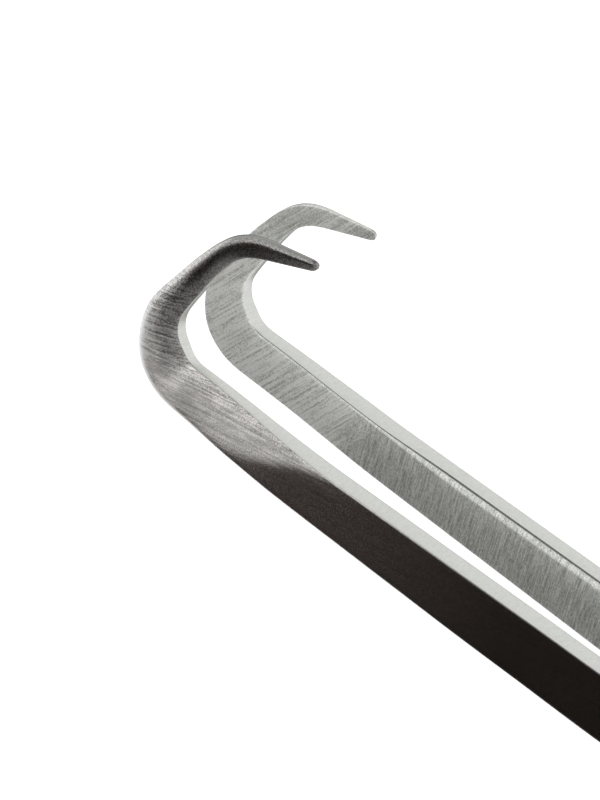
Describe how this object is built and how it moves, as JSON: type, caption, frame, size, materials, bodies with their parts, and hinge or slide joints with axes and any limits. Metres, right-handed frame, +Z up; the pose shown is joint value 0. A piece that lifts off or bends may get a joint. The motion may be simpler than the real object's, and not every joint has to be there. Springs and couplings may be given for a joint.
{
  "type": "hive tool",
  "caption": "Spring-opened tongs with twin upturned hooks that close on a hive frame, riveted handles, a handle lock and a scraper blade.",
  "frame": {"origin": "on the surface that the tongs lie on, under the middle of their box", "axes": "+X runs along the tool from the hooks to the scraper blade, +Y across it from the front arm's hook to the rear arm's, +Z up, the way the hooks turn"},
  "size_m": [0.2644, 0.0498, 0.0346],
  "materials": {
    "arm_steel": "ground stainless steel with fine cross lines",
    "blade_steel": "satin ground stainless steel",
    "fastener_steel": "turned bright steel",
    "spring_steel": "drawn spring wire",
    "bronze": "plain bearing bronze",
    "wood": "oiled hardwood"
  },
  "bodies": {
    "front_half": {"front_arm": "arm_steel", "pivot_screw": "fastener_steel", "pivot_nut": "fastener_steel", "upper_washer": "fastener_steel", "wear_washer": "bronze", "limit_rod": "fastener_steel", "limit_nut": "fastener_steel", "return_spring": "spring_steel", "scraper_blade": "blade_steel", "blade_rivet_1": "fastener_steel", "blade_rivet_2": "fastener_steel", "rear_handle_outer_scale": "wood", "rear_handle_inner_scale": "wood", "rear_handle_rivet_1": "fastener_steel", "rear_handle_rivet_2": "fastener_steel", "rear_handle_rivet_3": "fastener_steel", "lock_stud": "fastener_steel"},
    "rear_half": {"rear_arm": "arm_steel", "front_handle_outer_scale": "wood", "front_handle_inner_scale": "wood", "front_handle_rivet_1": "fastener_steel", "front_handle_rivet_2": "fastener_steel", "front_handle_rivet_3": "fastener_steel", "lock_pin": "fastener_steel"},
    "lock_link": {"lock_link": "blade_steel"}
  },
  "joints": [
    {"name": "jaw_pivot", "type": "hinge", "parent": "front_half", "child": "rear_half", "pos_m": [-0.0178, 0, 0.008], "axis": [0, 0, 1], "range_deg": [0, 7.2], "stiffness_Nm_per_rad": 0.9, "springref_deg": -3.44, "deforming": ["return_spring"]},
    {"name": "lock_swing", "type": "hinge", "parent": "rear_half", "child": "lock_link", "pos_m": [0.0992, -0.01302, 0.0139], "axis": [0, 0, 1], "range_deg": [0, 120.45]}
  ]
}
